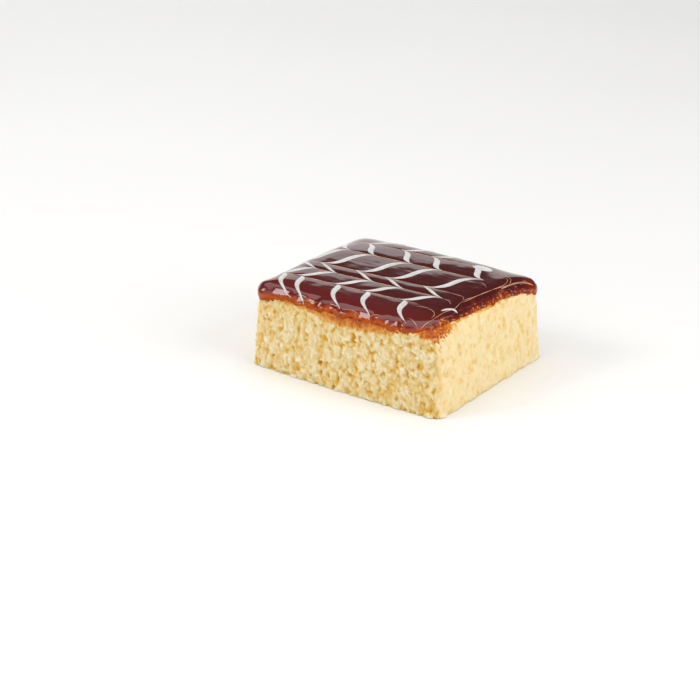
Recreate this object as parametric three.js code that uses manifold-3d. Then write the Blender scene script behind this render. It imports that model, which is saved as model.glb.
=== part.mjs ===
// A cut piece of milk-soaked sponge cake under a caramel glaze that is feathered with white icing.
// Millimetres, +Z up. X runs along the front cut face and Y towards the back face.
// The origin is on the surface that the cake stands on, under the middle of the piece.
import * as THREE from "three";
import { ImprovedNoise } from "three/addons/math/ImprovedNoise.js";
import { mergeVertices } from "three/addons/utils/BufferGeometryUtils.js";
import Module from "manifold-3d";

// The cut block: its foot, its height and how its soft sides stand.
const FOOT_WIDTH = 93.4;
const FOOT_DEPTH = 78.5;
const SPONGE_HEIGHT = 31;
const FULL_HEIGHT = 35.5;
const CORNER_RADIUS = 3;
const CORNER_STEPS = 4;
const CORNER_TURN = 11; // how tightly the way out turns at a corner
const SIDE_BULGE = 1.2; // swell of the middle of a side past its corners
const LEAN = 2.1; // how far each side has come in where the lean ends
const LEAN_FROM = 5; // height where the side starts to lean in
const LEAN_TO = 27; // height where it stands upright again
const CORNER_LEAN = 0.3; // how much further the upright corners have come in there
const NEAR_CORNER_LEAN = 4; // and the one between the front and right faces, which has slumped most
const CRUST_BAND = 2.8; // height of the baked crust, which stands in under the lip of the glaze
const CRUST_STEP = 0.8; // how far it stands in
const CRUST_EASE = 1.4; // height over which the side turns in to it

// The open crumb of the cut faces.
const CRUMB_PITCH = 1.66;
const CRUMB_LEVELS = 18;
const PIT_PITCH = 0.53; // one pit for each of these lengths round the foot
const PIT_RADIUS = [1.2, 3.2];
const PIT_DEPTH = 0.62; // depth of a pit as a share of its radius
const PIT_TALL = 1.45; // pits are taller than they are wide
const PIT_RARITY = 2.5; // the higher this is, the fewer of the pits are large
const LUMP_SIZE = 3.1;
const LUMP_HEIGHT = 0.75;
const GRIT_SIZE = 1.5;
const GRIT_HEIGHT = 0.3;
const CRUMB_PROUD = 0.35; // how far the walls between the pits stand out from the cut
const FINE_FACE = 0.6; // relief of the right and back faces as a share of the front and left ones
const CRUMB_FADE = 3; // height below the crust over which the relief dies out

// The caramel layer and its lip, which hangs over the crust.
const GLAZE_PITCH = 3.4;
const CONTACT_GAP = 0.3;
const LIP_GAP = 0.5; // clear way between the crust and the lip
const LIP = 1.4; // how far the lip stands out from the crust
const LIP_UNDER = 1.1; // how far the foot of the lip stands out
const LIP_RISE = 0.7; // height of the lip's widest line above its foot
const LIP_DROP = 1.1; // mean hang of the lip below the caramel's underside
const LIP_TILT = 0.7; // how much more it hangs at the back edge, and less at the front
const LIP_WAVE = 1.4; // swing of that hang along the edge
const LIP_HANG = [0.2, 2.4]; // least and most hang
const LIP_SHARES = [0, 0.9, 1, 0.7]; // share of the hang at each line of the lip, from the crust outwards
const LIP_WAVE_LENGTH = 6;
const SHOULDER_DROP = 3.6; // height of the rounded shoulder
const SHOULDER_REACH = 5.5; // width of the rounded shoulder
const SHOULDER_STEPS = 6;

// The white icing: lines piped from back to front, then dragged sideways by a skewer, to and fro.
const ICING_LINES = [-40, -29.5, -12.5, 2.5, 21]; // X of each piped line
const SKEWER_ROWS = [38, 28.5, 16.5, -2, -9, -19.5, -36, -48]; // Y of each pass of the skewer
const SKEWER_DRAG = 6; // how far each pass pulls a line
const DRAG_CURVE = [[1, 0.25], [3, 0.55], [15, 0.2]]; // powers and weights of the bend between passes
const ICING_WIDTH = 2.8; // width of a piped line along X
const ICING_PROUD = 0.3; // how far the icing stands out of the caramel
const ICING_STEPS = 7; // stations between two passes
const ICING_FOOT = 1.1; // the lines end this far above the top of the crust

const SEED = 41;
const { seededRandom, clamp, lerp, smoothstep } = THREE.MathUtils;
const noise = new ImprovedNoise();

// A closed polygon round the foot: four swelling sides with points a pitch apart, and four round corners.
function footOutline(pitch) {
  const x = FOOT_WIDTH / 2 - SIDE_BULGE;
  const y = FOOT_DEPTH / 2 - SIDE_BULGE;
  const r = CORNER_RADIUS;
  const swell = 2 * SIDE_BULGE;
  const path = new THREE.Path();
  path.moveTo(-x + r, -y);
  path.quadraticCurveTo(0, -y - swell, x - r, -y);
  path.quadraticCurveTo(x, -y, x, -y + r);
  path.quadraticCurveTo(x + swell, 0, x, y - r);
  path.quadraticCurveTo(x, y, x - r, y);
  path.quadraticCurveTo(0, y + swell, -x + r, y);
  path.quadraticCurveTo(-x, y, -x, y - r);
  path.quadraticCurveTo(-x - swell, 0, -x, -y + r);
  path.quadraticCurveTo(-x, -y, -x + r, -y);
  return path.curves.flatMap((curve, i) => {
    const steps = i % 2 ? CORNER_STEPS : Math.round(curve.getLength() / pitch);
    return curve.getSpacedPoints(steps).slice(0, steps);
  });
}

// A prism of unit height over the foot, split into levels that the solids below are shaped from.
function unitPrism(points, levels) {
  const shape = new THREE.Shape(points);
  return new THREE.ExtrudeGeometry(shape, { depth: 1, steps: levels, bevelEnabled: false });
}

// Moves every vertex of a geometry with place(point), which changes the point it is given.
function reshape(geometry, place) {
  const position = geometry.getAttribute("position");
  const point = new THREE.Vector3();
  for (let i = 0; i < position.count; i++) {
    place(point.fromBufferAttribute(position, i));
    position.setXYZ(i, point.x, point.y, point.z);
  }
  return geometry;
}

// The way out of the block at a point of its outline: square to the sides, and slanting round the corners.
function wayOut(point) {
  const u = point.x / (FOOT_WIDTH / 2);
  const v = point.y / (FOOT_DEPTH / 2);
  const out = new THREE.Vector3(
    (Math.sign(u) * Math.abs(u) ** CORNER_TURN) / FOOT_WIDTH,
    (Math.sign(v) * Math.abs(v) ** CORNER_TURN) / FOOT_DEPTH,
    0,
  );
  return out.normalize();
}

// Moves a point of the foot outline in to where the leaning side stands at height z, and in again by inset.
function standAt(point, z, inset) {
  const rise = smoothstep(z, LEAN_FROM, LEAN_TO);
  const out = wayOut(point);
  const corner = 2 * Math.abs(out.x * out.y);
  point.x *= 1 - (LEAN * rise + inset) / (FOOT_WIDTH / 2);
  point.y *= 1 - (LEAN * rise + inset) / (FOOT_DEPTH / 2);
  const slump = out.x > 0 && out.y < 0 ? NEAR_CORNER_LEAN : CORNER_LEAN;
  point.addScaledVector(out, -slump * corner * rise);
}

// The bubbles that the knife has opened, spread over the sides.
function openBubbles() {
  seededRandom(SEED);
  const places = footOutline(PIT_PITCH);
  return places.map((place) => {
    const z = SPONGE_HEIGHT * seededRandom();
    const point = new THREE.Vector3(place.x, place.y, z);
    standAt(point, z, 0);
    const radius = lerp(PIT_RADIUS[0], PIT_RADIUS[1], seededRandom() ** PIT_RARITY);
    return { point, radius };
  });
}

// How far the crumb stands out (above 0) or sinks in (below 0) at a point of the cut side.
function crumbRelief(point, bubbles) {
  const { x, y, z } = point;
  const lumps = LUMP_HEIGHT * noise.noise(x / LUMP_SIZE, y / LUMP_SIZE, z / (LUMP_SIZE * PIT_TALL));
  const grit = GRIT_HEIGHT * noise.noise(x / GRIT_SIZE, y / GRIT_SIZE, z / GRIT_SIZE);
  let pit = 0;
  for (const bubble of bubbles) {
    const dx = x - bubble.point.x;
    const dy = y - bubble.point.y;
    const dz = (z - bubble.point.z) / PIT_TALL;
    const share = 1 - (dx * dx + dy * dy + dz * dz) / bubble.radius ** 2;
    pit = Math.max(pit, PIT_DEPTH * bubble.radius * share);
  }
  return CRUMB_PROUD + lumps + grit - pit;
}

function spongeGeometry() {
  const bubbles = openBubbles();
  const prism = unitPrism(footOutline(CRUMB_PITCH), CRUMB_LEVELS);
  return reshape(prism, (point) => {
    const out = wayOut(point);
    point.z *= SPONGE_HEIGHT;
    const crust = SPONGE_HEIGHT - CRUST_BAND;
    standAt(point, point.z, CRUST_STEP * smoothstep(point.z, crust - CRUST_EASE, crust));
    const coarse = out.x + out.y > 0 ? FINE_FACE : 1;
    const shown = 1 - smoothstep(point.z, crust - CRUMB_FADE, crust);
    point.addScaledVector(out, coarse * shown * crumbRelief(point, bubbles));
  });
}

// The section of the caramel at its edge, from the crust out over the lip and up round the shoulder.
// Each station is [inset from the top of the crust, height above it, share of the lip's hang].
function glazeSection() {
  const rim = FULL_HEIGHT - SPONGE_HEIGHT;
  const section = [
    [-LIP_GAP, CONTACT_GAP, LIP_SHARES[0]],
    [-LIP_GAP, CONTACT_GAP, LIP_SHARES[1]],
    [-LIP_UNDER, CONTACT_GAP, LIP_SHARES[2]],
    [-LIP, CONTACT_GAP + LIP_RISE, LIP_SHARES[3]],
  ];
  const shoulder = new THREE.EllipseCurve(
    SHOULDER_REACH - LIP, rim - SHOULDER_DROP, SHOULDER_REACH, SHOULDER_DROP, Math.PI, Math.PI / 2, true,
  );
  for (const { x, y } of shoulder.getPoints(SHOULDER_STEPS)) {
    section.push([x, y, 0]);
  }
  return section;
}

// The caramel layer, with its outside standing further out by proud.
function glazeGeometry(proud) {
  const section = glazeSection();
  const levels = section.length - 1;
  const prism = unitPrism(footOutline(GLAZE_PITCH), levels);
  return reshape(prism, (point) => {
    const level = Math.round(point.z * levels);
    const [inset, up, hangs] = section[level];
    const wave = noise.noise(point.x / LIP_WAVE_LENGTH, point.y / LIP_WAVE_LENGTH, SEED);
    const back = point.y / (FOOT_DEPTH / 2);
    const hang = hangs * clamp(LIP_DROP + LIP_TILT * back + LIP_WAVE * wave, ...LIP_HANG);
    const outer = level < 2 ? 0 : proud;
    standAt(point, SPONGE_HEIGHT, CRUST_STEP + inset - outer);
    point.z = SPONGE_HEIGHT + up - hang + outer;
  });
}

// How far the skewer has dragged the icing along X at a distance y from the middle.
function skewerShift(y) {
  let pass = SKEWER_ROWS.findIndex((row) => row <= y) - 1;
  pass = clamp(pass, 0, SKEWER_ROWS.length - 2);
  const from = SKEWER_ROWS[pass];
  const to = SKEWER_ROWS[pass + 1];
  const u = (2 * (y - from)) / (to - from) - 1;
  let bend = 0;
  for (const [power, weight] of DRAG_CURVE) {
    bend += weight * u ** power;
  }
  return SKEWER_DRAG * bend * (pass % 2 ? 1 : -1);
}

// The plan of one line of icing, as an upright wall through the glaze.
function icingWall(lineX) {
  const stations = [];
  for (let pass = 0; pass + 1 < SKEWER_ROWS.length; pass++) {
    for (let step = 0; step < ICING_STEPS; step++) {
      const share = (1 - Math.cos((Math.PI * step) / ICING_STEPS)) / 2;
      stations.push(lerp(SKEWER_ROWS[pass], SKEWER_ROWS[pass + 1], share));
    }
  }
  const edge = (side) => (y) => new THREE.Vector2(lineX + skewerShift(y) + (side * ICING_WIDTH) / 2, y);
  const plan = new THREE.Shape([...stations.map(edge(-1)), ...stations.reverse().map(edge(1))]);
  const wall = new THREE.ExtrudeGeometry(plan, { depth: FULL_HEIGHT, bevelEnabled: false });
  return wall.translate(0, 0, SPONGE_HEIGHT + ICING_FOOT);
}

const wasm = await Module();
wasm.setup();

// A closed geometry as a solid that can be joined and cut.
function solidOf(geometry) {
  geometry.deleteAttribute("normal");
  geometry.deleteAttribute("uv");
  const merged = mergeVertices(geometry, 1e-4);
  return new wasm.Manifold(
    new wasm.Mesh({
      numProp: 3,
      vertProperties: merged.getAttribute("position").array,
      triVerts: new Uint32Array(merged.index.array),
    }),
  );
}

// A joined solid as a geometry again.
function geometryOf(solid) {
  const mesh = solid.getMesh();
  const geometry = new THREE.BufferGeometry();
  geometry.setAttribute("position", new THREE.BufferAttribute(mesh.vertProperties, 3));
  geometry.setIndex(new THREE.BufferAttribute(mesh.triVerts, 1));
  geometry.computeVertexNormals();
  return geometry;
}

// The caramel with the lines of icing standing a little out of it, as one piece.
function featheredGlaze() {
  const skin = solidOf(glazeGeometry(ICING_PROUD));
  let glaze = solidOf(glazeGeometry(0));
  for (const lineX of ICING_LINES) {
    glaze = glaze.add(skin.intersect(solidOf(icingWall(lineX))));
  }
  return geometryOf(glaze);
}

const sponge = new THREE.Mesh(
  spongeGeometry(),
  new THREE.MeshStandardMaterial({ color: 0xf3d692, roughness: 0.75, metalness: 0 }),
);
sponge.name = "sponge";

const caramelGlaze = new THREE.Mesh(
  featheredGlaze(),
  new THREE.MeshStandardMaterial({ color: 0x5a1d17, roughness: 0.12, metalness: 0 }),
);
caramelGlaze.name = "caramel_glaze";

// The crumb makes the sides uneven, so the piece is moved until its box is centred on the origin.
const piece = new THREE.Group();
piece.add(sponge, caramelGlaze);
const middle = new THREE.Box3().setFromObject(piece).getCenter(new THREE.Vector3());
piece.position.set(-middle.x, -middle.y, 0);

const cake = new THREE.Group();
cake.add(piece);

export default cake;
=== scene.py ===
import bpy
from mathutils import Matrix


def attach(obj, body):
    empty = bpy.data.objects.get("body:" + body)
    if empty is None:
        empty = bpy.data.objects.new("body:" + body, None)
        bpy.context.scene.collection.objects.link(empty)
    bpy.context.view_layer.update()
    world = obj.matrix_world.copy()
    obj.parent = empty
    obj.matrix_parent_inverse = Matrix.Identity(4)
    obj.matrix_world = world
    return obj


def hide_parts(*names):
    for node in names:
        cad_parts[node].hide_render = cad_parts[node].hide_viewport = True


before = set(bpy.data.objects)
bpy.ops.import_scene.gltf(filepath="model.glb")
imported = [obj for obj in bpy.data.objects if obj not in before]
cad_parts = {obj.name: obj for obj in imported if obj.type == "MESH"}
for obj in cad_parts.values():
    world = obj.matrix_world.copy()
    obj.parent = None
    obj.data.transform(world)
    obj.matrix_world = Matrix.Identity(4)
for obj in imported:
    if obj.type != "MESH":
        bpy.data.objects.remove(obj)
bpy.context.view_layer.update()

import math

import bpy
from mathutils import Euler, Vector
from mathutils.bvhtree import BVHTree

# The sponge: a hand-cut block of butter sponge, soaked through with milk, so that its soft sides lean in.
# The knife has opened its crumb into domed lumps and tall pits, coarse on the front and left faces and finer
# on the right and back ones. Its top is baked to a crust that the caramel has stained.
MM = 0.001
BLOCK_WIDTH, BLOCK_DEPTH, BLOCK_HEIGHT = 92.4, 77.2, 31.6
FULL_HEIGHT = 35.5
CORNER, CORNER_STEPS = 4.0, 4
COLUMN, ROWS = 3.0, 10
TOP_RINGS = ((1.6, 0.6), (4.5, 0.8))
RIM_HEIGHTS = ((-1, 1), (16, 40))
LEAN = 2.4
SWELL, SWELL_STRIP = 1.0, 2.6
SWELL_SIDES = (Vector((-1, 0, 0)), Vector((0, 1, 0)), Vector((0, -1, 0)))
FAR_CORNER, FAR_CORNER_FOOT = 76, 24
FAR_CORNER_PULL, FAR_CORNER_REACH = (0, 0, -1.0), 16
SHOULDER, SHOULDER_FRONTS = 40, (14, -12)
SHOULDER_PULL, SHOULDER_REACH = (-1.6, 0, 0.5), 8


def edit(piece, kind, wanted):
    """Opens a piece in edit mode with those of its vertices, edges or faces selected that wanted() picks."""
    bpy.ops.object.mode_set(mode="EDIT")
    bpy.ops.mesh.select_mode(type=kind)
    bpy.ops.mesh.select_all(action="DESELECT")
    bpy.ops.object.mode_set(mode="OBJECT")
    parts = {"VERT": piece.data.vertices, "EDGE": piece.data.edges, "FACE": piece.data.polygons}[kind]
    for part in parts:
        part.select = wanted(part)
    bpy.ops.object.mode_set(mode="EDIT")


def object_mode():
    bpy.ops.object.mode_set(mode="OBJECT")


def run_along(mesh, axis):
    """A test for edges that run along one axis."""
    def wanted(edge):
        a, b = (mesh.vertices[i].co for i in edge.vertices)
        return abs((a - b)[axis]) > 0.99 * (a - b).length
    return wanted


def drag(amount, reach, falloff="SMOOTH"):
    """Moves what is selected, and takes along what lies within reach of it."""
    bpy.ops.transform.translate(
        value=Vector(amount) * MM, use_proportional_edit=True, proportional_edit_falloff=falloff,
        proportional_size=reach * MM,
    )


def swell(piece, band):
    """Bows the middle of three sides out, from the outer band of the piece."""
    for way in SWELL_SIDES:
        across = Vector((way.y, way.x, 0))
        half, reach = (BLOCK_WIDTH / 2, BLOCK_DEPTH / 2) if way.x else (BLOCK_DEPTH / 2, BLOCK_WIDTH / 2)
        outer = (half - band) * MM
        strip = SWELL_STRIP * MM
        edit(
            piece, "VERT",
            lambda corner: corner.co.dot(way) > outer and abs(corner.co.dot(across)) < strip,
        )
        drag(way * SWELL, reach, "INVERSE_SQUARE")
        object_mode()


def add_modifier(piece, kind, **settings):
    """Adds a modifier, sets it up and applies it."""
    modifier = piece.modifiers.new(kind.lower(), kind)
    for name, value in settings.items():
        setattr(modifier, name, value)
    bpy.context.view_layer.objects.active = piece
    bpy.ops.object.modifier_apply(modifier=modifier.name)


# A cage round the whole piece, whose top is drawn in, gives the sponge its lean, and later the caramel too.
bpy.ops.object.select_all(action="DESELECT")
bpy.ops.object.add(type="LATTICE", location=(0, 0, FULL_HEIGHT / 2 * MM))
cage = bpy.context.object
cage.scale = (BLOCK_WIDTH * MM, BLOCK_DEPTH * MM, FULL_HEIGHT * MM)
for point in cage.data.points:
    if point.co.z > 0:
        point.co_deform.x -= math.copysign(LEAN / BLOCK_WIDTH, point.co.x)
        point.co_deform.y -= math.copysign(LEAN / BLOCK_DEPTH, point.co.y)
for axis in "uvw":
    setattr(cage.data, "interpolation_type_" + axis, "KEY_LINEAR")

bpy.ops.object.select_all(action="DESELECT")
bpy.ops.mesh.primitive_cube_add(
    size=1,
    location=(0, 0, BLOCK_HEIGHT / 2 * MM),
    scale=(BLOCK_WIDTH * MM, BLOCK_DEPTH * MM, BLOCK_HEIGHT * MM),
)
sponge = bpy.context.object
sponge.name = sponge.data.name = "milk_sponge"
bpy.ops.object.transform_apply(location=True, rotation=True, scale=True)
edit(sponge, "EDGE", run_along(sponge.data, 2))
bpy.ops.mesh.bevel(offset=CORNER * MM, segments=CORNER_STEPS, affect="EDGES")
object_mode()
edit(sponge, "EDGE", run_along(sponge.data, 2))
bpy.ops.mesh.subdivide(number_cuts=ROWS - 1)
for axis, length in ((0, BLOCK_WIDTH), (1, BLOCK_DEPTH)):
    object_mode()
    edit(sponge, "EDGE", run_along(sponge.data, axis))
    bpy.ops.mesh.subdivide(number_cuts=round((length - 2 * CORNER) / COLUMN) - 1)
object_mode()
edit(sponge, "FACE", lambda face: abs(face.normal.z) > 0.9)
bpy.ops.mesh.delete(type="FACE")
object_mode()
top_edge = (BLOCK_HEIGHT - 0.5) * MM
edit(sponge, "EDGE", lambda edge: all(sponge.data.vertices[i].co.z > top_edge for i in edge.vertices))
ring = (0, 0)
for inset, rise in TOP_RINGS:
    bpy.ops.mesh.extrude_edges_move(
        TRANSFORM_OT_translate={"value": (0, 0, (rise - ring[1]) * MM), "use_proportional_edit": False}
    )
    shrunk = [(size / 2 - inset) / (size / 2 - ring[0]) for size in (BLOCK_WIDTH, BLOCK_DEPTH)]
    bpy.ops.transform.resize(value=(*shrunk, 1), center_override=(0, 0, 0), use_proportional_edit=False)
    ring = (inset, rise)
object_mode()
swell(sponge, 2)
edit(
    sponge, "VERT",
    lambda corner: corner.co.x + corner.co.y > FAR_CORNER * MM and corner.co.z > FAR_CORNER_FOOT * MM,
)
drag(FAR_CORNER_PULL, FAR_CORNER_REACH)
object_mode()
for front in SHOULDER_FRONTS:
    edit(
        sponge, "VERT",
        lambda corner: corner.co.x > SHOULDER * MM and corner.co.z > top_edge and corner.co.y < front * MM,
    )
    drag(SHOULDER_PULL, SHOULDER_REACH, "SHARP")
    object_mode()
add_modifier(sponge, "LATTICE", object=cage)
add_modifier(sponge, "SUBSURF", subdivision_type="SIMPLE", levels=3, render_levels=3)
for low, high in RIM_HEIGHTS:
    bpy.ops.object.mode_set(mode="EDIT")
    bpy.ops.mesh.select_mode(type="EDGE")
    bpy.ops.mesh.select_all(action="DESELECT")
    bpy.ops.mesh.select_non_manifold()
    object_mode()
    rim = {i for edge in sponge.data.edges if edge.select for i in edge.vertices}
    edit(sponge, "VERT", lambda corner: corner.index in rim and low * MM < corner.co.z < high * MM)
    bpy.ops.mesh.edge_face_add()
    object_mode()
edit(sponge, "FACE", lambda face: True)
bpy.ops.mesh.normals_make_consistent(inside=False)
object_mode()

# Each kind of crumb has its size across, or the size of the cell that holds it, and its height or depth.
BILLOW, BILLOW_RISE = 3.4, 0.9
LUMP, LUMP_RISE = 1.5, 0.7
KNOB, KNOB_RISE = 0.85, 0.35
VALLEY, VALLEY_DEPTH = 2.2, 0.9
PIT_CELL, PIT_RADIUS, PIT_DEPTH = 2.4, 1.0, 0.5
SPECK_CELL, SPECK_RADIUS, SPECK_DEPTH = 2.8, 1.3, 0.4
GRIT, GRIT_RISE = 0.7, 0.2
FOOT_LUMP, FOOT_LUMP_RISE, FOOT_HEIGHT = 3.0, 1.1, 3.5
FINE_FACE_SHARE, FINE_FACE_TURN = 0.4, (-0.5, 0.6)
FACE_BORDER, FACE_BORDER_SHARE = 5.0, 0.4
TALL_CRUMB, TALL_SPECK = (1, 1, 0.76), (0.8, 0.8, 0.7)
DEEPEST = -1.9
COVERED_FROM, COVERED_TO, COVERED_SHARE = 31.6, 33.4, 0.3
LEFT_CORNER, LEFT_CORNER_COVER = (-66.0, -80.0), 2.8


def add(tree, kind, values=None, **settings):
    """Adds a node, sets it up, and feeds its inputs with constants or with other nodes' outputs."""
    made = tree.nodes.new(kind)
    for name, value in settings.items():
        setattr(made, name, value)
    for socket, value in (values or {}).items():
        if isinstance(value, bpy.types.NodeSocket):
            tree.links.new(value, made.inputs[socket])
        else:
            made.inputs[socket].default_value = value
    return made


def calc(tree, operation, *terms):
    return add(tree, "ShaderNodeMath", dict(enumerate(terms)), operation=operation).outputs[0]


def vector(tree, operation, *terms):
    return add(tree, "ShaderNodeVectorMath", dict(enumerate(terms)), operation=operation).outputs[0]


def scaled(tree, place, factor):
    return add(tree, "ShaderNodeVectorMath", {0: place, "Scale": factor}, operation="SCALE").outputs[0]


def split(tree, place):
    return add(tree, "ShaderNodeSeparateXYZ", {0: place}).outputs


def ease(tree, value, low, high, start=0.0, end=1.0):
    """A smooth step from start, where value is at low, to end, where it is at high."""
    return add(
        tree, "ShaderNodeMapRange",
        {"Value": value, "From Min": low, "From Max": high, "To Min": start, "To Max": end},
        interpolation_type="SMOOTHSTEP",
    ).outputs[0]


def cloud(tree, place, size, detail=2.0):
    """Soft noise from -1 to 1, in blobs of about that size."""
    noise = add(tree, "ShaderNodeTexNoise", {"Vector": place, "Scale": 1 / size, "Detail": detail})
    return calc(tree, "MULTIPLY_ADD", noise.outputs[0], 2.0, -1.0)


def domes(tree, place, size, smoothness):
    """Round lumps of about that size: 0.5 on top of a lump, below 0 in the furrows between."""
    values = {"Vector": place, "Scale": 1 / size, "Smoothness": smoothness}
    made = add(tree, "ShaderNodeTexVoronoi", values, feature="SMOOTH_F1")
    return calc(tree, "SUBTRACT", 0.5, made.outputs["Distance"])


def strayed(tree, place, size, amount):
    """A place moved about by noise, so that what is drawn there loses its regular outline."""
    noise = add(tree, "ShaderNodeTexNoise", {"Vector": place, "Scale": 1 / size, "Detail": 2.0})
    away = vector(tree, "SUBTRACT", noise.outputs["Color"], (0.5, 0.5, 0.5))
    return vector(tree, "ADD", place, scaled(tree, away, 2 * amount))


def pits(tree, place, size, radius, depth):
    """Round-bottomed pits, one in each cell, from very small up to a radius in millimetres: their depth."""
    cell = add(tree, "ShaderNodeTexVoronoi", {"Vector": place, "Scale": 1 / size})
    draw = split(tree, cell.outputs["Color"])[0]
    reach = calc(tree, "MULTIPLY_ADD", calc(tree, "POWER", draw, 1.5), radius / size, 0.02)
    return ease(tree, calc(tree, "DIVIDE", cell.outputs["Distance"], reach), 1.0, 0.2, 0.0, depth)


def crumb_relief(tree, place):
    """How far the opened crumb stands out, in lumps with knobs on them, and the same less its pits."""
    loose = strayed(tree, strayed(tree, place, 2.6, 1.0), 1.2, 0.45)
    tall = vector(tree, "MULTIPLY", loose, TALL_CRUMB)
    lumps = calc(tree, "MULTIPLY", cloud(tree, tall, BILLOW, 1.5), BILLOW_RISE)
    lumps = calc(tree, "MULTIPLY_ADD", domes(tree, tall, LUMP, 0.3), LUMP_RISE, lumps)
    lumps = calc(tree, "MULTIPLY_ADD", domes(tree, loose, KNOB, 0.2), KNOB_RISE, lumps)
    valleys = ease(tree, cloud(tree, tall, VALLEY, 1.5), 0.0, -0.6, 0.0, VALLEY_DEPTH)
    hollows = calc(tree, "MAXIMUM", valleys, pits(tree, tall, PIT_CELL, PIT_RADIUS, PIT_DEPTH))
    return lumps, calc(tree, "SUBTRACT", lumps, hollows)


def bared(tree, place):
    """How much of the relief is left, as caramel has filled it towards the top and at the left corner."""
    x, y, z = split(tree, place)
    lower = ease(tree, calc(tree, "ADD", x, y), *LEFT_CORNER, 0.0, LEFT_CORNER_COVER)
    return ease(tree, calc(tree, "ADD", z, lower), COVERED_FROM, COVERED_TO, 1.0, COVERED_SHARE)


def shape_nodes(name):
    """An empty node tree that changes a piece's shape, with its way in and its way out."""
    tree = bpy.data.node_groups.new(name, "GeometryNodeTree")
    tree.interface.new_socket("Geometry", in_out="INPUT", socket_type="NodeSocketGeometry")
    tree.interface.new_socket("Geometry", in_out="OUTPUT", socket_type="NodeSocketGeometry")
    return tree, tree.nodes.new("NodeGroupInput").outputs[0], tree.nodes.new("NodeGroupOutput").inputs[0]


def keep(tree, shape, name, value):
    """Stores a value at every point of a shape, for the material to read."""
    return add(
        tree, "GeometryNodeStoreNamedAttribute", {"Geometry": shape, "Name": name, "Value": value},
        data_type="FLOAT", domain="POINT",
    ).outputs[0]


crumb, block, opened = shape_nodes("open_crumb")
place = scaled(crumb, add(crumb, "GeometryNodeInputPosition").outputs[0], 1 / MM)
facing = add(crumb, "GeometryNodeInputNormal").outputs[0]
height = split(crumb, place)[2]
upward = add(crumb, "ShaderNodeCombineXYZ", {0: 1.0, 1: 1.0, 2: ease(crumb, height, 30.5, 32.0)}).outputs[0]
side = vector(crumb, "NORMALIZE", vector(crumb, "MULTIPLY", facing, upward))
turn = split(crumb, side)
turn = calc(crumb, "ADD", turn[0], turn[1])
turn = calc(crumb, "MULTIPLY_ADD", cloud(crumb, place, FACE_BORDER), FACE_BORDER_SHARE, turn)
fine = ease(crumb, turn, *FINE_FACE_TURN)
lumps, coarse = crumb_relief(crumb, place)
speck_place = vector(crumb, "MULTIPLY", strayed(crumb, place, 1.5, 0.5), TALL_SPECK)
specks = pits(crumb, speck_place, SPECK_CELL, SPECK_RADIUS, SPECK_DEPTH)
smooth = calc(crumb, "SUBTRACT", calc(crumb, "MULTIPLY", lumps, FINE_FACE_SHARE), specks)
relief = add(crumb, "ShaderNodeMix", {0: fine, 2: coarse, 3: smooth}).outputs[0]
grit = calc(crumb, "MULTIPLY", cloud(crumb, place, GRIT), GRIT_RISE)
relief = calc(crumb, "MAXIMUM", calc(crumb, "ADD", relief, grit), DEEPEST)
foot = ease(crumb, height, 0.0, FOOT_HEIGHT, FOOT_LUMP_RISE, 0.0)
relief = calc(crumb, "MULTIPLY_ADD", cloud(crumb, place, FOOT_LUMP), foot, relief)
shown = calc(crumb, "MULTIPLY", relief, bared(crumb, place))
offset = scaled(crumb, side, calc(crumb, "MULTIPLY", shown, MM))
marked = keep(crumb, keep(crumb, block, "relief", relief), "fine_face", fine)
moved = add(crumb, "GeometryNodeSetPosition", {"Geometry": marked, "Offset": offset})
crumb.links.new(moved.outputs[0], opened)
add_modifier(sponge, "NODES", node_group=crumb)
bpy.ops.object.shade_smooth()

# The crumb is cream on its tops and deep yellow in its pits, partly its own tone and partly painted shade.
# The crust is browned, the more the higher it is.
CRUMB_LEVELS = (-1.1, 0.8)
CRUMB_AND_PIT_SHADE_COLOURS = (
    (0.0, (220, 146, 8)), (0.25, (229, 181, 64)), (0.5, (235, 209, 146)),
    (0.75, (244, 229, 191)), (1.0, (251, 244, 226)),
)
SHADE_GRAIN, SHADE_GRAIN_DEPTH = 0.8, 0.15
FLECK, FLECK_DEPTH, TALL_FLECK = 2.2, 0.5, (1, 1, 0.75)
YOLK, YOLK_PATCH, YOLK_SHARE = (243, 211, 138), 9.0, 0.3
CREAM_AND_PAINTED_LIGHT, CREAM_AND_PAINTED_LIGHT_SHARE = (253, 233, 192), 0.25
CRUST_HEIGHTS, STAIN_HEIGHTS = (27.6, 29.2), (27.4, 34.0)
CRUST_PIT_SHADE_COLOURS = ((0.0, (224, 152, 52)), (0.5, (200, 104, 24)), (1.0, (146, 56, 14)))
CRUST_TOP_COLOURS = ((0.0, (240, 192, 100)), (0.5, (230, 150, 54)), (1.0, (200, 100, 26)))
CRUST_SPECK, CRUST_SPECK_DEPTH, CRUST_LEVELS = 0.9, 0.7, (-0.7, 0.6)
CRUST_FRINGE, CRUST_FRINGE_REACH = 1.4, 1.8
CRUST_PATCH, CRUST_PATCH_REACH, TALL_PATCH = 6.0, 1.6, (1, 1, 0.5)
CRUST_WAVE, CRUST_WAVE_START, CRUST_WAVE_LIFT = 8.9, 26, 1.4
FINE_FACE_LIFT, LUMP_LIFT = 4.0, 0.5
NEAR_CORNER, NEAR_FINE_DROP, NEAR_LIFT = (58.0, 72.0), 4.3, 1.8
NEAR_CRUMB, NEAR_CRUMB_REACH = 1.1, 4.0
NEAR_STAIN_HEIGHTS, NEAR_STAIN = (28.4, 31.0), (0.1, 0.65)
MOIST_ROUGHNESS, GLAZED_ROUGHNESS = 0.6, 0.22
SOFT_DEPTH = 1.7


def colour(red, green, blue):
    """A colour seen on screen, as the linear values that a shader takes."""
    def linear(level):
        level /= 255
        return level / 12.92 if level < 0.04045 else ((level + 0.055) / 1.055) ** 2.4
    return (linear(red), linear(green), linear(blue), 1.0)


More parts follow.
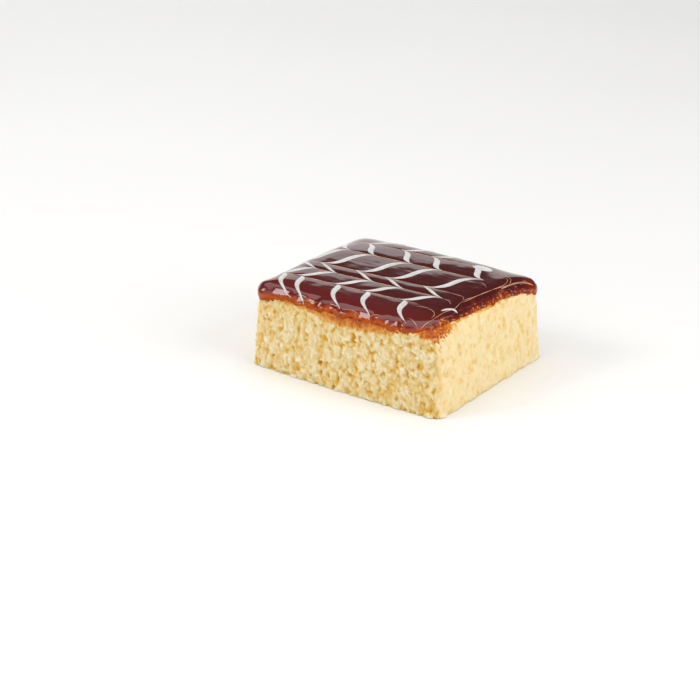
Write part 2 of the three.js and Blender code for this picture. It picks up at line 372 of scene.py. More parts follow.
def ramp(tree, value, stops):
    """A colour ramp through stops of (place from 0 to 1, colour seen on screen)."""
    made = add(tree, "ShaderNodeValToRGB", {0: value})
    points = made.color_ramp.elements
    while len(points) < len(stops):
        points.new(0.5)
    for point, (at, shade) in zip(points, stops):
        point.position = at
        point.color = colour(*shade)
    return made.outputs[0]


def blend(tree, share, first, second):
    """A mix of two colours."""
    return add(tree, "ShaderNodeMix", {0: share, 6: first, 7: second}, data_type="RGBA").outputs[2]


def new_finish(name):
    """A material with its node tree, its surface shader and a place in millimetres on the piece."""
    finish = bpy.data.materials.new(name)
    finish.use_nodes = True
    tree = finish.node_tree
    spot = scaled(tree, add(tree, "ShaderNodeTexCoord").outputs["Object"], 1 / MM)
    return finish, tree, tree.nodes["Principled BSDF"], spot


def stored(tree, name):
    return add(tree, "ShaderNodeAttribute", attribute_name=name).outputs["Fac"]


sponge_finish, tree, skin, spot = new_finish("moist_sponge")
spot_x, spot_y, spot_z = split(tree, spot)
relief = stored(tree, "relief")
fine = stored(tree, "fine_face")
depth = calc(tree, "MULTIPLY_ADD", cloud(tree, spot, SHADE_GRAIN), SHADE_GRAIN_DEPTH, relief)
tall = vector(tree, "MULTIPLY", spot, TALL_FLECK)
flecks = ease(tree, cloud(tree, tall, FLECK, 0.6), -0.05, -0.55, 0.0, FLECK_DEPTH)
depth = calc(tree, "SUBTRACT", depth, calc(tree, "MULTIPLY", flecks, fine))
low, high = CRUMB_LEVELS
level = add(tree, "ShaderNodeMapRange", {"Value": depth, "From Min": low, "From Max": high}).outputs[0]
# Painted shade: the deeper a point lies in the relief, the darker and more golden its colour, over the
# crumb's own cream.
crumb_colour_and_painted_light = ramp(tree, level, CRUMB_AND_PIT_SHADE_COLOURS)
yolk = ease(tree, cloud(tree, spot, YOLK_PATCH), -0.2, 0.7, 0.0, YOLK_SHARE)
crumb_colour_and_painted_light = blend(tree, yolk, crumb_colour_and_painted_light, colour(*YOLK))
# The fine faces are blended to pale cream: partly their finer, paler crumb, partly painted light on the
# brightly lit right face.
crumb_colour_and_painted_light = blend(tree, calc(tree, "MULTIPLY", fine, CREAM_AND_PAINTED_LIGHT_SHARE), crumb_colour_and_painted_light, colour(*CREAM_AND_PAINTED_LIGHT))

# The crust's foot wanders and rises in waves, lies higher on the fine faces and frays at the near corner.
soak = calc(tree, "MULTIPLY_ADD", cloud(tree, spot, CRUST_FRINGE, 4.0), CRUST_FRINGE_REACH, spot_z)
patches = cloud(tree, vector(tree, "MULTIPLY", spot, TALL_PATCH), CRUST_PATCH)
soak = calc(tree, "MULTIPLY_ADD", patches, CRUST_PATCH_REACH, soak)
turned = calc(tree, "MULTIPLY_ADD", spot_x, 1 / CRUST_WAVE, CRUST_WAVE_START / CRUST_WAVE)
soak = calc(tree, "MULTIPLY_ADD", calc(tree, "COSINE", turned), -CRUST_WAVE_LIFT, soak)
lift = calc(tree, "MULTIPLY_ADD", fine, FINE_FACE_LIFT, calc(tree, "MULTIPLY", relief, LUMP_LIFT))
soak = calc(tree, "SUBTRACT", soak, lift)
near = ease(tree, calc(tree, "SUBTRACT", spot_x, spot_y), *NEAR_CORNER)
near_drop = calc(tree, "MULTIPLY_ADD", fine, NEAR_FINE_DROP, -NEAR_LIFT)
soak = calc(tree, "MULTIPLY_ADD", near, near_drop, soak)
crumbly = calc(tree, "MULTIPLY", calc(tree, "MULTIPLY", near, fine), cloud(tree, spot, NEAR_CRUMB))
soak = calc(tree, "MULTIPLY_ADD", crumbly, NEAR_CRUMB_REACH, soak)
crust = ease(tree, soak, *CRUST_HEIGHTS)
near_stain = calc(tree, "MULTIPLY", near, ease(tree, soak, *NEAR_STAIN_HEIGHTS, *NEAR_STAIN))
stain = calc(tree, "ADD", near_stain, ease(tree, soak, *STAIN_HEIGHTS))
# Painted shade: by the relief's depth the crust is darker brown in its pits than on its tops, on top of the
# caramel's stain.
crust_pit_shade = ramp(tree, stain, CRUST_PIT_SHADE_COLOURS)
crust_tops = ramp(tree, stain, CRUST_TOP_COLOURS)
speckled = calc(tree, "MULTIPLY_ADD", cloud(tree, spot, CRUST_SPECK), CRUST_SPECK_DEPTH, depth)
crust_colour_and_pit_shade = blend(tree, ease(tree, speckled, *CRUST_LEVELS), crust_pit_shade, crust_tops)
tree.links.new(blend(tree, crust, crumb_colour_and_painted_light, crust_colour_and_pit_shade), skin.inputs["Base Color"])
tree.links.new(ease(tree, crust, 0, 1, MOIST_ROUGHNESS, GLAZED_ROUGHNESS), skin.inputs["Roughness"])
skin.inputs["Specular IOR Level"].default_value = 0.3
skin.inputs["Subsurface Weight"].default_value = 0.8
skin.inputs["Subsurface Radius"].default_value = (1.0, 0.88, 0.5)
skin.inputs["Subsurface Scale"].default_value = SOFT_DEPTH * MM
knobs = calc(tree, "MULTIPLY_ADD", domes(tree, spot, 0.6, 0.1), 1.4, cloud(tree, spot, 0.35, 3.0))
grain = add(tree, "ShaderNodeBump", {"Height": knobs, "Strength": 0.4, "Distance": 0.2 * MM})
tree.links.new(grain.outputs[0], skin.inputs["Normal"])
sponge.data.materials.append(sponge_finish)
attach(sponge, "root")
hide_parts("sponge")

# The caramel: a layer about 4 mm thick, poured over the crust and set, so its top is level, its edges round
# and its foot clings to the crumb. The skewer that feathered the icing left low swells between its rows.
# It is dark where it is thick, turns to amber where it thins out at the rim, and holds crumbs on the right.
NEAR_LEAN = 5.8
GLAZE_REACH = (BLOCK_WIDTH / 2, BLOCK_DEPTH / 2)
GLAZE_CORNERS = {(1, -1): 11.0, (-1, 1): 7.0, (-1, -1): 4.6, (1, 1): 4.6}
GLAZE_RINGS = (
    (8.5, 35.55), (5.0, 35.3), (2.7, 34.75), (1.6, 34.2), (0.5, 32.75),
    (0.0, 31.7), (0.0, 30.6), (0.1, 29.3), (0.7, 28.0), (4.0, 27.4),
)
GLAZE_COLUMNS, GLAZE_ROWS = 24, 20
BACK_CORNER, BACK_CORNER_PUSH = 74, 0.3
BACK_CORNER_SAGS = ((Vector((1, 1, 0)), 0.8, 16), (Vector((-1, 1, 0)), 0.7, 20))
LEFT_EDGE, LEFT_EDGE_FOOT = -80, 28.5
LEFT_EDGE_PULL, LEFT_EDGE_REACH = (-0.1, -0.5, 0), 10

bpy.ops.object.select_all(action="DESELECT")
inner, top = GLAZE_RINGS[0]
bpy.ops.mesh.primitive_grid_add(
    x_subdivisions=GLAZE_COLUMNS, y_subdivisions=GLAZE_ROWS, size=MM, location=(0, 0, top * MM)
)
glaze = bpy.context.object
glaze.name = glaze.data.name = "caramel_layer"
bpy.ops.object.transform_apply(location=True, rotation=True, scale=True)
bpy.ops.object.mode_set(mode="EDIT")
flat = [2 * (half - inner) for half in GLAZE_REACH]
bpy.ops.transform.resize(value=(*flat, 1), center_override=(0, 0, 0), use_proportional_edit=False)
bpy.ops.mesh.select_mode(type="EDGE")
bpy.ops.mesh.select_all(action="DESELECT")
bpy.ops.mesh.select_non_manifold()
for (was_in, was_up), (inset, up) in zip(GLAZE_RINGS, GLAZE_RINGS[1:]):
    bpy.ops.mesh.extrude_edges_move(
        TRANSFORM_OT_translate={"value": (0, 0, (up - was_up) * MM), "use_proportional_edit": False}
    )
    grown = [(half - inset) / (half - was_in) for half in GLAZE_REACH]
    bpy.ops.transform.resize(value=(*grown, 1), center_override=(0, 0, 0), use_proportional_edit=False)
bpy.ops.mesh.edge_face_add()
bpy.ops.mesh.select_all(action="SELECT")
bpy.ops.mesh.normals_make_consistent(inside=False)
object_mode()
for point in glaze.data.vertices:
    sign = (1 if point.co.x > 0 else -1, 1 if point.co.y > 0 else -1)
    inward = [half - GLAZE_CORNERS[sign] for half in GLAZE_REACH]
    out = Vector((abs(point.co.x) / MM - inward[0], abs(point.co.y) / MM - inward[1]))
    if min(out) > 0:
        out *= 1 - max(out) / out.length
        point.co.x -= sign[0] * out.x * MM
        point.co.y -= sign[1] * out.y * MM
swell(glaze, 6)
for way, sag, reach in BACK_CORNER_SAGS:
    edit(glaze, "VERT", lambda point: point.co.dot(way) > BACK_CORNER * MM)
    drag(way * BACK_CORNER_PUSH + Vector((0, 0, -sag)), reach)
    object_mode()
edit(
    glaze, "VERT",
    lambda point: point.co.x + point.co.y < LEFT_EDGE * MM and point.co.z > LEFT_EDGE_FOOT * MM,
)
drag(LEFT_EDGE_PULL, LEFT_EDGE_REACH)
object_mode()
for point in cage.data.points:
    if point.co.z > 0 and point.co.x > 0 > point.co.y:
        point.co_deform.x -= NEAR_LEAN / BLOCK_WIDTH
add_modifier(glaze, "LATTICE", object=cage)
add_modifier(glaze, "SUBSURF", levels=3, render_levels=3)

# A row of the skewer is its place from front to back and how far it pulled the icing to the right.
SKEWER_ROWS = (
    (36.5, 8.0), (28.2, -5.5), (16.2, 7.5), (-2.6, -7.2), (-9.4, 6.2), (-19.7, -7.2), (-36.6, 9.5),
)
ROW_SLANT, ROW_SPAN = 0.06, 50
ROW_SWELL, ROW_SWELL_HEIGHTS = 0.11, (34.3, 35.3)
ROW_SWELL_FADE, ROW_SWELL_LEFT = (4.0, 32.0), 0.2
ROLL, ROLL_RISE, ROLL_HEIGHTS = 11.0, 0.07, (33.5, 35.0)
STREAK, STREAK_RISE, LONG_STREAK = 4.0, 0.025, (0.35, 1, 1)
RIM_SLANT, RIM_RIGHT, RIM_FACE = 0.07, (34.0, 39.0), (36.0, 39.0)
RIGHT_LIFT, RIGHT_FILM_LIFT = 1.2, 1.0
DRIP, DRIP_REACH, TALL_DRIP = 5.5, 2.2, (1, 1, 0.3)
HANG_CORNER, HANG, HANG_PUSH = (60.0, 78.0), 3.2, 0.2
CUFF_CORNER, CUFF, CUFF_PUSH = (-66.0, -82.0), 3.4, 0.18
FRAY, FRAY_REACH = 1.5, 1.1
NUB, NUB_RISE, NUB_DENT, TALL_NUB = 5.0, 1.5, -0.25, (1, 1, 0.5)
NUB_HEIGHTS, NUB_FOOT, NUB_FRONT = (35.1, 33.8), (30.8, 32.2), (-29.0, -36.0)
FILM_HEIGHTS, LIP_HEIGHTS = (32.0, 33.4), (30.1, 31.3)
LIP_IN, LIP_OUT = -1.9, 0.3
FILM_SHARE = 0.9
SIDE_LUMP, SIDE_LUMP_RISE, SIDE_LUMP_HEIGHTS = 2.2, 0.6, (33.6, 34.8)
SIDE_LUMP_FADE, SIDE_LUMP_LEFT = (16.0, 30.0), 0.35

swells, poured, feathered = shape_nodes("skewer_swells")
place = scaled(swells, add(swells, "GeometryNodeInputPosition").outputs[0], 1 / MM)
facing = add(swells, "GeometryNodeInputNormal").outputs[0]
x, y, z = split(swells, place)
x_and_y = calc(swells, "ADD", x, y)

# The top rolls a little and swells between the rows, with a furrow along each.
along = calc(swells, "SUBTRACT", y, calc(swells, "MULTIPLY", x, ROW_SLANT))
across_rows = add(
    swells, "ShaderNodeMapRange", {"Value": along, "From Min": -ROW_SPAN, "From Max": ROW_SPAN}
).outputs[0]
profile = add(swells, "ShaderNodeFloatCurve", {"Value": across_rows})
curve = profile.mapping.curves[0]
curve.points[0].location, curve.points[1].location = (0, 1), (1, 1)
rows = sorted(row for row, pull in SKEWER_ROWS)
for before, after in zip(rows, rows[1:]):
    curve.points.new((before + ROW_SPAN) / (2 * ROW_SPAN), 0.0).handle_type = "VECTOR"
    curve.points.new(((before + after) / 2 + ROW_SPAN) / (2 * ROW_SPAN), 1.0)
curve.points.new((rows[-1] + ROW_SPAN) / (2 * ROW_SPAN), 0.0).handle_type = "VECTOR"
profile.mapping.update()
to_the_right = ease(swells, x, *ROW_SWELL_FADE, 1.0, ROW_SWELL_LEFT)
on_top = calc(swells, "MULTIPLY", ease(swells, z, *ROW_SWELL_HEIGHTS), to_the_right)
streaks = cloud(swells, vector(swells, "MULTIPLY", place, LONG_STREAK), STREAK, 1.0)
roll = calc(swells, "MULTIPLY", streaks, STREAK_RISE)
roll = calc(swells, "MULTIPLY_ADD", cloud(swells, place, ROLL, 1.0), ROLL_RISE, roll)
row_swell = calc(swells, "MULTIPLY", profile.outputs[0], on_top)
top_rise = calc(swells, "MULTIPLY_ADD", row_swell, ROW_SWELL, roll)
top_rise = calc(swells, "MULTIPLY", top_rise, ease(swells, z, *ROLL_HEIGHTS))
lift = add(swells, "ShaderNodeCombineXYZ", {2: calc(swells, "MULTIPLY", top_rise, MM)}).outputs[0]

# The rim hangs unevenly, lowest at the far right and the left corner. Its foot ends in a lip with nubs.
beyond = calc(swells, "SUBTRACT", x, calc(swells, "MULTIPLY", y, RIM_SLANT))
drip_place = vector(swells, "MULTIPLY", place, TALL_DRIP)
drip = calc(swells, "MULTIPLY_ADD", cloud(swells, drip_place, DRIP), DRIP_REACH, z)
hang = ease(swells, x_and_y, *HANG_CORNER, 0.0, HANG)
cuff = ease(swells, x_and_y, *CUFF_CORNER, 0.0, CUFF)
drip = calc(swells, "ADD", calc(swells, "ADD", drip, hang), cuff)
drip = calc(swells, "SUBTRACT", drip, ease(swells, beyond, *RIM_RIGHT, 0.0, RIGHT_LIFT))
frayed = calc(swells, "MULTIPLY_ADD", cloud(swells, place, FRAY), FRAY_REACH, drip)
nubs = cloud(swells, vector(swells, "MULTIPLY", place, TALL_NUB), NUB, 0.0)
nub_rise = ease(swells, z, *NUB_HEIGHTS, 0.0, NUB_RISE)
nubs = calc(swells, "MULTIPLY", calc(swells, "MAXIMUM", nubs, NUB_DENT), nub_rise)
nubs = calc(swells, "MULTIPLY", nubs, ease(swells, drip, *NUB_FOOT))
lip = calc(swells, "MULTIPLY", nubs, ease(swells, y, *NUB_FRONT))
lip = calc(swells, "ADD", lip, ease(swells, frayed, *LIP_HEIGHTS, LIP_IN, LIP_OUT))
lip = calc(swells, "MULTIPLY_ADD", hang, HANG_PUSH, calc(swells, "MULTIPLY_ADD", cuff, CUFF_PUSH, lip))

# Near its foot the caramel is only a film, which follows the crumb below it.
clinging = ease(swells, frayed, *FILM_HEIGHTS, 1.0, 0.0)
soaked = calc(swells, "MULTIPLY", crumb_relief(swells, place)[1], bared(swells, place))
soaked = calc(swells, "MULTIPLY", soaked, clinging)
lip = calc(swells, "MULTIPLY_ADD", soaked, FILM_SHARE, lip)
lump_rise = ease(swells, z, *SIDE_LUMP_HEIGHTS, SIDE_LUMP_RISE, 0.0)
side_lumps = calc(swells, "MULTIPLY", cloud(swells, place, SIDE_LUMP, 1.0), lump_rise)
to_the_back = ease(swells, y, *SIDE_LUMP_FADE, 1.0, SIDE_LUMP_LEFT)
side_lumps = calc(swells, "MULTIPLY", side_lumps, to_the_back)
bumps = calc(swells, "MULTIPLY_ADD", side_lumps, ease(swells, beyond, *RIM_FACE), lip)
film = calc(swells, "MULTIPLY_ADD", soaked, -FILM_SHARE, drip)
film = calc(swells, "ADD", film, ease(swells, beyond, *RIM_RIGHT, 0.0, RIGHT_FILM_LIFT))
marked = keep(swells, keep(swells, poured, "clinging", clinging), "drip", film)
outward = scaled(swells, facing, calc(swells, "MULTIPLY", bumps, MM))
shifted = add(
    swells, "GeometryNodeSetPosition",
    {"Geometry": marked, "Offset": vector(swells, "ADD", lift, outward)},
)
swells.links.new(shifted.outputs[0], feathered)
add_modifier(glaze, "NODES", node_group=swells)
bpy.ops.object.shade_smooth()

CARAMEL_COLOURS = (
    (0.0, (74, 20, 19)), (0.15, (98, 30, 27)), (0.4, (116, 36, 22)),
    (0.7, (148, 54, 16)), (1.0, (176, 76, 16)),
)
THICK_HEIGHT, THIN_HEIGHT = 35.2, 31.0
CLOUDING, CLOUDING_REACH = 1.8, 0.6
FRONT_EDGE, FRONT_THINNESS = (-10.0, -34.0), 0.15
FAR_EDGE, FAR_THINNESS = (66.0, 78.0), 0.4
RIGHT_EDGE, RIGHT_THICKNESS = (30.0, 40.0), (0.8, 4.0)
RIM_CRUMB, RIM_CRUMB_SHARE, RIM_CRUMB_COLOUR = 1.1, 0.7, (230, 162, 98)
FILM_START, FILM_FULL = 0.5, 1.0
caramel_finish, tree, skin, spot = new_finish("set_caramel")
spot_x, spot_y, spot_z = split(tree, spot)
clinging = stored(tree, "clinging")
cloudy = calc(tree, "MULTIPLY_ADD", cloud(tree, spot, CLOUDING, 3.0), CLOUDING_REACH, stored(tree, "drip"))
body = calc(tree, "ADD", spot_z, ease(tree, spot_x, *RIGHT_EDGE, *RIGHT_THICKNESS))
thinness = ease(tree, calc(tree, "MINIMUM", cloudy, body), THICK_HEIGHT, THIN_HEIGHT)
thinness = calc(tree, "ADD", thinness, ease(tree, spot_y, *FRONT_EDGE, 0.0, FRONT_THINNESS))
far = ease(tree, calc(tree, "ADD", spot_x, spot_y), *FAR_EDGE, 0.0, FAR_THINNESS)
thinness = calc(tree, "ADD", thinness, far)
caramel_colour = ramp(tree, thinness, CARAMEL_COLOURS)
right_rim = calc(tree, "SUBTRACT", spot_x, calc(tree, "MULTIPLY", spot_y, RIM_SLANT))
crumbs = calc(tree, "MULTIPLY", ease(tree, right_rim, *RIM_FACE), ease(tree, clinging, 0.1, 0.9))
scattered = ease(tree, cloud(tree, spot, RIM_CRUMB, 2.5), 0.0, 0.4, 0.0, RIM_CRUMB_SHARE)
crumbs = calc(tree, "MULTIPLY", crumbs, scattered)
caramel_colour = blend(tree, crumbs, caramel_colour, colour(*RIM_CRUMB_COLOUR))
tree.links.new(caramel_colour, skin.inputs["Base Color"])
tree.links.new(ease(tree, clinging, FILM_START, FILM_FULL, 0.1, 0.3), skin.inputs["Roughness"])
tree.links.new(ease(tree, clinging, FILM_START, FILM_FULL, 1.0, 0.2), skin.inputs["Coat Weight"])
skin.inputs["Coat Roughness"].default_value = 0.06
skin.inputs["Specular IOR Level"].default_value = 0.02
glaze.data.materials.append(caramel_finish)
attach(glaze, "root")
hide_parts("caramel_glaze")

# The white icing: lines piped on the wet caramel from back to front, then dragged sideways by a skewer, to
# and fro, so that each line bends to a point at every row. It has sunk in until it stands a little proud.
# A line is given by its x at the back and front edge, a smear by its route and its width; the second smear is
# a painted highlight.
ICING_LINES = ((-43.8, -35.6), (-29.0, -28.8), (-11.6, -11.4), (2.6, 2.4), (22.5, 18.5))
ICING_SMEARS_AND_HIGHLIGHT = (
    (((17.2, 28.8), (20.6, 29.2), (26.4, 28.8)), 5.0),
    # Painted highlight: a pale strip on the right ridge near the near corner, where the caramel's fold
    # catches the light.
    (((33.2, -18.8), (34.1, -16.1), (36.0, -14.4), (38.2, -14.9)), 1.5),
)
LINE_BACK, LINE_LENGTH = 36, 72
ICING_WIDTH, ICING_STEPS, ICING_COLUMNS = 3.0, 22, 6
BEND_TAPER, HEAD_TAPER, TAIL_TAPER = 0.85, 0.4, 0.97
FRONT_TIP, TAIL_START = -37.1, 4.3
ICING_CROWN, ICING_THICKNESS = 0.2, 0.35
ICING_SHADES = ((200, 196, 192), (217, 215, 213))
WELL_ABOVE = 60
glaze_tree = BVHTree.FromPolygons(
    [corner.co for corner in glaze.data.vertices], [face.vertices for face in glaze.data.polygons]
)


def on_glaze(x, y):
    """The point of the caramel's top straight below, in metres, or None where it has ended."""
    above = Vector((x, y, WELL_ABOVE)) * MM
    return glaze_tree.ray_cast(above, Vector((0, 0, -1)))[0]


def bend(u, stiff):
    """A line's sideways place between two rows, where u goes from -1 to 1: straighter where it is stiff."""
    return stiff * u + (1 - stiff) * (0.55 * u ** 3 + 0.45 * u ** 13)


def trail(share):
    """How far a line's end is drawn sideways, at a share of its way from its last bend to the front."""
    return 0.88 * share ** 2.7 + 0.12 * (1 - (1 - share) ** 10)


def line_stations(line, rows):
    """The middle of one line of icing, from back to front, each with the way to its right edge."""
    bends = []
    for row, pull in rows:
        x = line[1] + (line[0] - line[1]) * (row + LINE_BACK) / LINE_LENGTH + pull
        bends.append((x, max(row + ROW_SLANT * x, FRONT_TIP)))
    stations = []
    for i, ((x0, y0), (x1, y1)) in enumerate(zip(bends, bends[1:])):
        last = i == len(bends) - 2
        stiff = min(max(1.05 - (y0 - y1) / 17, 0.15), 0.7)
        x0 += TAIL_START if last else 0
        for step in range(ICING_STEPS + 1):
            u = -math.cos(math.pi * step / ICING_STEPS)
            share = (u + 1) / 2
            drawn = trail(share) if last else (bend(u, stiff) + 1) / 2
            width = ICING_WIDTH * (0.8 - 0.3 * u if last else 1)
            taper = (TAIL_TAPER if u > 0 else HEAD_TAPER) if last else BEND_TAPER
            width *= 1 - taper * abs(u) ** 5
            middle = Vector((x0 + (x1 - x0) * drawn, y0 + (y1 - y0) * share))
            stations.append((middle, Vector((width / 2, 0))))
    return stations


def smooth_route(points, step=0.8):
    """Places along a smooth curve through the points, about a step apart."""
    points = [Vector(point) for point in points]
    padded = [2 * points[0] - points[1], *points, 2 * points[-1] - points[-2]]
    route = []
    for before, start, end, after in zip(padded, padded[1:], padded[2:], padded[3:]):
        count = max(round((end - start).length / step), 1)
        for share in (i / count for i in range(count)):
            pull = (end - before) * share * (1 - share) ** 2 / 2
            pull -= (after - start) * share ** 2 * (1 - share) / 2
            route.append(start.lerp(end, share * share * (3 - 2 * share)) + pull)
    return route + [points[-1]]


def ribbon_stations(points, width):
    """The middle of a ribbon of icing along a route, with round ends, each with the way to its edge."""
    route = smooth_route(points, 0.5)
    stations = []
    for i, place in enumerate(route):
        ahead = route[min(i + 1, len(route) - 1)] - route[max(i - 1, 0)]
        share = (i + 0.02) / (len(route) - 0.96)
        swelling = math.sqrt(share * (1 - share))
        stations.append((place, Vector((-ahead.y, ahead.x)).normalized() * width * swelling))
    return stations


def laid_strip(stations):
    """A strip of icing through the stations, laid on the caramel, with its middle marked to be crowned."""
    steps = len(stations) - 1
    bpy.ops.object.select_all(action="DESELECT")
    bpy.ops.mesh.primitive_grid_add(x_subdivisions=ICING_COLUMNS, y_subdivisions=steps, size=1)
    strip = bpy.context.object
    crown = strip.vertex_groups.new(name="crown")
    for point in strip.data.vertices:
        share = point.co.x * 2
        middle, edge = stations[steps - round((point.co.y + 0.5) * steps)]
        point.co = on_glaze(*(middle + edge * share)) or Vector((0, 0, 0))
        crown.add([point.index], 1 - share * share, "REPLACE")
    edit(strip, "VERT", lambda point: point.co.length == 0)
    bpy.ops.mesh.delete(type="VERT")
    object_mode()
    return strip


def joined(pieces, name):
    """One piece made of several."""
    bpy.ops.object.select_all(action="DESELECT")
    for piece in pieces:
        piece.select_set(True)
    bpy.context.view_layer.objects.active = pieces[0]
    bpy.ops.object.join()
    pieces[0].name = pieces[0].data.name = name
    return pieces[0]


first, *between, last = ICING_LINES
strips = [laid_strip(line_stations(line, SKEWER_ROWS[1:])) for line in (first, last)]
strips += [laid_strip(line_stations(line, SKEWER_ROWS)) for line in between]
# The smears include the painted highlight on the right ridge.
strips += [laid_strip(ribbon_stations(points, width)) for points, width in ICING_SMEARS_AND_HIGHLIGHT]
icing = joined(strips, "white_icing")
add_modifier(icing, "DISPLACE", direction="Z", mid_level=0.0, strength=ICING_CROWN * MM, vertex_group="crown")
add_modifier(icing, "SOLIDIFY", thickness=ICING_THICKNESS * MM, offset=-1.0)
bpy.ops.object.shade_smooth()

# Mottling, for the icing, the threads and the floor: a colour that wanders between two shades in soft blobs.
mottle = bpy.data.node_groups.new("mottle", "ShaderNodeTree")
for socket, kind in (
    ("Place", "Vector"), ("Size", "Float"), ("Detail", "Float"), ("Spread", "Float"),
    ("Dark", "Color"), ("Light", "Color"),
):
    mottle.interface.new_socket(socket, in_out="INPUT", socket_type="NodeSocket" + kind)
mottle.interface.new_socket("Colour", in_out="OUTPUT", socket_type="NodeSocketColor")
given = mottle.nodes.new("NodeGroupInput").outputs
closeness = calc(mottle, "DIVIDE", 1.0, given["Size"])
blobs = add(
    mottle, "ShaderNodeTexNoise",
    {"Vector": given["Place"], "Scale": closeness, "Detail": given["Detail"]},
)
wander = calc(mottle, "MULTIPLY_ADD", blobs.outputs[0], 2.0, -1.0)
share = ease(mottle, wander, calc(mottle, "MULTIPLY", given["Spread"], -1.0), given["Spread"])
mottled_colour = blend(mottle, share, given["Dark"], given["Light"])
mottle.links.new(mottled_colour, mottle.nodes.new("NodeGroupOutput").inputs["Colour"])


def mottled(tree, place, size, detail, spread, shades):
    """The mottling between two shades, placed in a finish."""
    dark, light = (colour(*shade) for shade in shades)
    values = {"Place": place, "Size": size, "Detail": detail, "Spread": spread, "Dark": dark, "Light": light}
    return add(tree, "ShaderNodeGroup", values, node_tree=mottle).outputs["Colour"]


icing_finish, tree, skin, spot = new_finish("white_icing")
streaky = vector(tree, "MULTIPLY", spot, (1.0, 0.35, 1.0))
tree.links.new(mottled(tree, streaky, 1.6, 3.0, 0.6, ICING_SHADES), skin.inputs["Base Color"])
skin.inputs["Roughness"].default_value = 0.22
skin.inputs["Subsurface Weight"].default_value = 0.15
skin.inputs["Subsurface Radius"].default_value = (1.0, 0.8, 0.6)
skin.inputs["Subsurface Scale"].default_value = 0.6 * MM
icing.data.materials.append(icing_finish)
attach(icing, "root")

# The threads: what the skewer drew out of the icing along its rows, mixed with caramel to a tan, hair-fine.
# At the right edge they curl round into two strands along the rim. The loop at the far corner is a painted
# highlight: a thicker tan thread where the caramel's rim catches the light.
THREAD, FAR_CORNER_HIGHLIGHT_RADIUS = 0.17, 0.5
THREAD_SUNK = 0.45
EDGE_ROUTE = (
    (26.1, 27.6), (31.2, 27.6), (35.6, 27.2), (37.6, 25.0), (38.9, 20.6), (37.3, 12.6), (36.0, 3.2),
    (35.4, -3.8), (34.7, -7.1), (35.8, -13.1), (34.8, -19.4), (35.0, -28.2), (34.0, -34.2),
)
CURLS = (
    ((33.6, 26.8), (36.4, 24.6), (37.8, 18.8), (36.8, 8.9), (35.5, 0.7), (34.1, -5.1)),
    ((28.2, 15.4), (31.3, 14.6), (35.0, 11.2)),
    ((20.6, -1.6), (26.6, -1.4), (31.6, -1.8), (33.5, -3.3), (34.1, -5.7)),
    ((27.2, -8.1), (30.2, -9.0), (33.2, -11.6)),
    ((22.7, -21.1), (26.4, -19.8), (30.3, -20.7), (33.1, -23.2), (34.2, -27.5)),
    ((-20.0, -36.4), (-17.5, -36.5), (-12.3, -36.7)),
    ((-1.6, -36.6), (0.2, -36.3), (3.2, -35.9), (6.3, -36.1)),
    ((10.6, -36.4), (11.9, -36.0), (14.7, -35.2), (17.6, -34.8)),
    ((25.9, -31.8), (28.2, -32.0), (30.4, -33.0), (33.3, -34.7)),
)
FAR_CORNER_HIGHLIGHT_LOOP = ((38.9, 14.9), (39.2, 21.5), (40.4, 26.6), (42.7, 30.1), (43.9, 31.9))
ROW_THREAD_STOPS = (-42.0, -20.0, 0.0, 12.0)
ROW_THREAD_ENDS = (25.0, 30.0, 20.6, 27.2, 22.7)
THREAD_SHADES = ((150, 84, 46), (222, 176, 128))


def drawn_thread(points, radius=THREAD):
    """A fine round thread on the caramel, thinner at both ends."""
    places = [hit for hit in (on_glaze(*point) for point in smooth_route(points)) if hit]
    bpy.ops.object.select_all(action="DESELECT")
    bpy.ops.curve.primitive_nurbs_path_add()
    thread = bpy.context.object
    thread.data.splines.clear()
    path = thread.data.splines.new("POLY")
    path.points.add(len(places) - 1)
    for i, (point, place) in enumerate(zip(path.points, places)):
        point.co = (place.x, place.y, place.z - THREAD_SUNK * radius * MM, 1)
        point.radius = min(1, 0.35 + 0.2 * min(i, len(places) - 1 - i))
    thread.data.bevel_depth = radius * MM
    thread.data.bevel_resolution = 1
    thread.data.use_fill_caps = True
    bpy.ops.object.convert(target="MESH")
    return bpy.context.object


# The far-corner loop is a painted highlight on the caramel's rim, drawn as a thick tan thread.
threads = [drawn_thread(EDGE_ROUTE), drawn_thread(FAR_CORNER_HIGHLIGHT_LOOP, FAR_CORNER_HIGHLIGHT_RADIUS)]
threads += [drawn_thread(curl) for curl in CURLS]
for (row, pull), end in zip(SKEWER_ROWS[1:-1], ROW_THREAD_ENDS):
    threads.append(drawn_thread([(x, row + ROW_SLANT * x) for x in (*ROW_THREAD_STOPS, end)]))
icing_threads = joined(threads, "icing_threads")
bpy.ops.object.transform_apply(location=True, rotation=True, scale=True)
bpy.ops.object.shade_smooth()

thread_finish, tree, skin, spot = new_finish("tan_icing")
tree.links.new(mottled(tree, spot, 5.0, 2.0, 0.5, THREAD_SHADES), skin.inputs["Base Color"])
skin.inputs["Roughness"].default_value = 0.2
icing_threads.data.materials.append(thread_finish)
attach(icing_threads, "root")

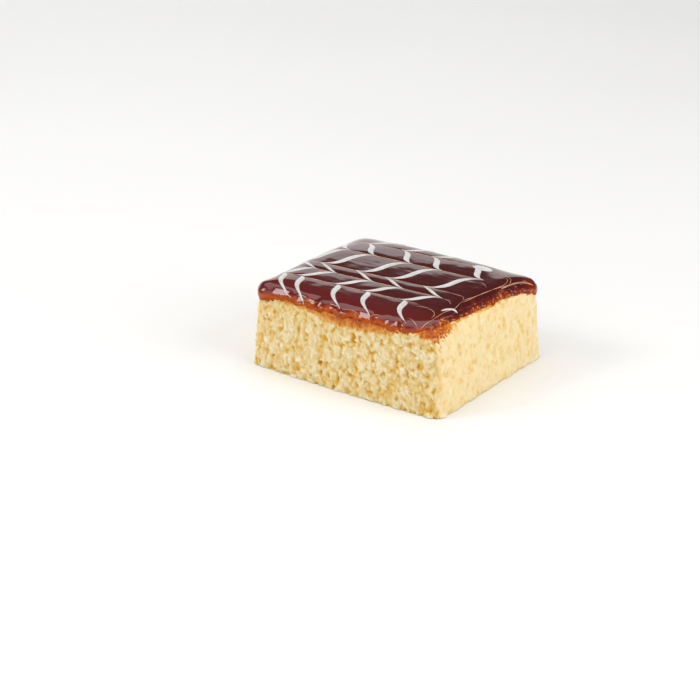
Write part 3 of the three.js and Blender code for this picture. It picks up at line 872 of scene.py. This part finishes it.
# The stage: a plain pale floor and large soft lights, overhead, on the right as the key, at the left with a
# bright window in it, as a fill from the front left and on the floor behind. A low white card at the back is
# what the level caramel mirrors. A place is in metres, a light's last value is how bright it glows.
VIEW_AZIMUTH, VIEW_PITCH = math.radians(36.3), math.radians(23.6)
CAMERA_PLACE = (0.38534, -0.55734, 0.3)
FOCAL_LENGTH, SENSOR_WIDTH = 92.88, 36
CAKE_MIDDLE = (0, 0, 0.02)
CARD_HEIGHT = 0.444
FLOOR_SIZE, FLOOR_SHADES = 8, ((238, 237, 235), (244, 243, 241))
SKY_COLOUR, SKY_GLOW = (0.9, 0.95, 1.0, 1), 0.06
bpy.ops.object.select_all(action="DESELECT")
bpy.ops.mesh.primitive_plane_add(size=FLOOR_SIZE)
floor = bpy.context.object
floor.name = "pale_floor"
floor_finish, tree, skin, spot = new_finish("pale_floor")
tree.links.new(mottled(tree, spot, 400.0, 2.0, 1.0, FLOOR_SHADES), skin.inputs["Base Color"])
skin.inputs["Roughness"].default_value = 0.6
floor.data.materials.append(floor_finish)


def soft_light(name, place, target, size, glow):
    """A rectangular soft light at a place, turned to a target."""
    lamp = bpy.data.lights.new(name, "AREA")
    lamp.shape = "RECTANGLE"
    lamp.size, lamp.size_y = size
    lamp.energy = glow * math.pi * size[0] * size[1]
    holder = bpy.data.objects.new(name, lamp)
    bpy.context.scene.collection.objects.link(holder)
    holder.location = place
    holder.rotation_euler = (Vector(target) - Vector(place)).to_track_quat("-Z", "Y").to_euler()
    holder.visible_camera = False


def around(azimuth, distance, height):
    """A place round the object: azimuth 0 is straight in front of the camera, positive to its right."""
    turn = VIEW_AZIMUTH + math.radians(azimuth)
    return (math.sin(turn) * distance, -math.cos(turn) * distance, height)


soft_light("overhead", around(0, 0.15, 1.1), CAKE_MIDDLE, (1.3, 1.1), 1.6)
soft_light("key", around(62, 1.0, 0.55), CAKE_MIDDLE, (0.8, 0.9), 3.45)
soft_light("left", around(-82, 0.9, 0.72), CAKE_MIDDLE, (0.65, 0.65), 1.2)
soft_light("window", around(-82, 0.88, 0.70), CAKE_MIDDLE, (0.4, 0.36), 7.0)
soft_light("fill", around(-40, 1.1, 0.45), CAKE_MIDDLE, (1.0, 0.8), 0.92)
soft_light("far_floor", around(180, 0.75, 1.3), around(180, 0.6, 0.0), (1.6, 0.8), 1.4)
soft_light("card", around(192, 1.05, CARD_HEIGHT / 2), (0, 0, CARD_HEIGHT / 2), (1.4, CARD_HEIGHT), 1.05)
world = bpy.data.worlds.new("studio")
world.use_nodes = True
world.node_tree.nodes["Background"].inputs["Color"].default_value = SKY_COLOUR
world.node_tree.nodes["Background"].inputs["Strength"].default_value = SKY_GLOW
bpy.context.scene.world = world
bpy.context.scene.view_settings.view_transform = "Standard"

lens = bpy.data.cameras.new("camera")
lens.lens = FOCAL_LENGTH
lens.sensor_width = SENSOR_WIDTH
camera = bpy.data.objects.new("camera", lens)
camera.location = CAMERA_PLACE
camera.rotation_euler = Euler((math.pi / 2 - VIEW_PITCH, 0, VIEW_AZIMUTH))
bpy.context.scene.collection.objects.link(camera)
bpy.context.scene.camera = camera

bpy.data.objects.remove(cage)
